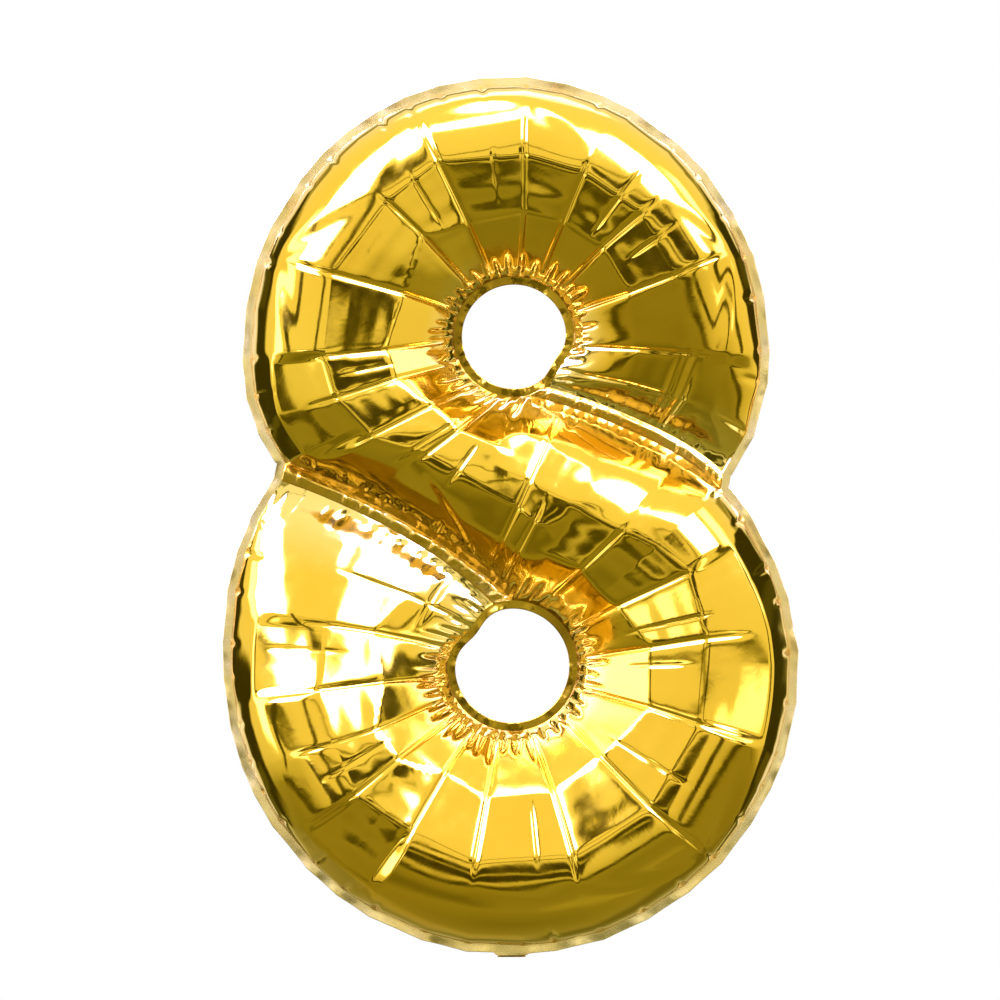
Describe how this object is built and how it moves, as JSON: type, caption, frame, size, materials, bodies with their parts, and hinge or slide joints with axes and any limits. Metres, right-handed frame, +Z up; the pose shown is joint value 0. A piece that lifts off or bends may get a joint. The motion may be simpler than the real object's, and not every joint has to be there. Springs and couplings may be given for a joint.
{
  "type": "foil number balloon",
  "caption": "Inflated gold foil balloon in the shape of the figure 8, with flat sealed seams, weld seams beside the diagonal, and an inflation tail folded behind.",
  "frame": {"origin": "centre of the bounding box at its lowest point, under the bottom seam", "axes": "+Z up, front faces -Y, +X to the right when looked at from the front"},
  "size_m": [0.5667, 0.1742, 0.864],
  "materials": {
    "gold_foil": "polished",
    "sealed_foil": "satin",
    "clear_film": "gloss"
  },
  "bodies": {
    "balloon": {"front_foil_panel": "gold_foil", "back_foil_panel": "gold_foil", "outline_seam": "sealed_foil", "upper_eye_seam": "sealed_foil", "lower_eye_seam": "sealed_foil", "upper_weld_seam": "sealed_foil", "lower_weld_seam": "sealed_foil", "valve_front_film": "clear_film", "valve_back_film": "clear_film", "valve_side_seals": "clear_film"},
    "tail": {"tail_front_film": "gold_foil", "tail_back_film": "gold_foil", "tail_side_seals": "sealed_foil"}
  },
  "joints": [
    {"name": "tail_fold", "type": "hinge", "parent": "balloon", "child": "tail", "pos_m": [0, 0, 0.0006], "axis": [-1, 0, 0], "range_deg": [0, 180]}
  ]
}
